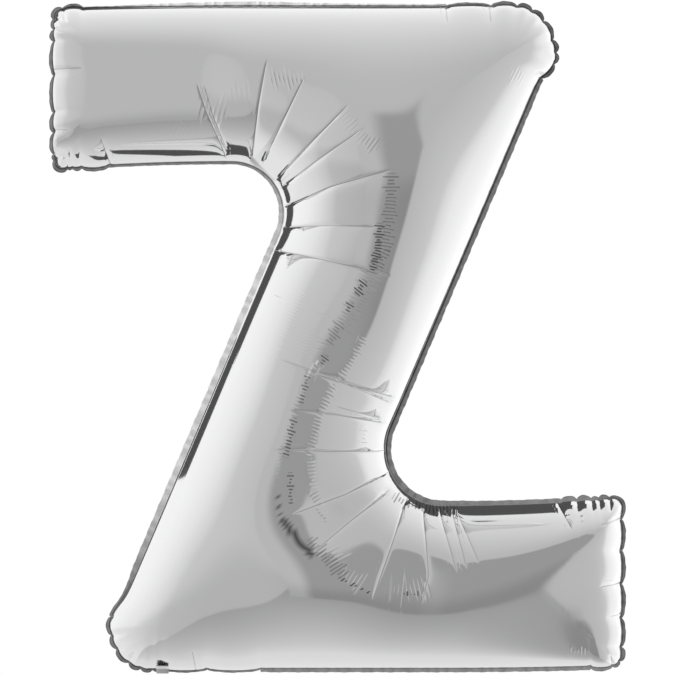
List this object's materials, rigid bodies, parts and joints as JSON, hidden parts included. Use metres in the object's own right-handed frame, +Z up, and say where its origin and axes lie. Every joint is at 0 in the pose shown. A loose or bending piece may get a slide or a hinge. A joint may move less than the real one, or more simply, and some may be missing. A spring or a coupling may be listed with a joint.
{
  "type": "letter foil balloon",
  "caption": "Inflated silver foil balloon in the shape of a block letter Z, with a flat welded rim and a self-closing filling valve.",
  "frame": {"origin": "middle of the letter, in the plane of the weld, where the balloon is held in the air", "axes": "+Z up along the letter's height, +X to the reader's right, the front film faces -Y"},
  "size_m": [0.7588, 0.302, 0.8848],
  "materials": {
    "film": "bright metallised film, softly mirrored",
    "rim": "heat-welded metallised film, crinkled",
    "valve": "translucent film over metallised film"
  },
  "bodies": {
    "root": {"front_film": "film", "back_film": "film", "seam_rim": "rim", "valve_sleeve": "valve"}
  },
  "joints": []
}
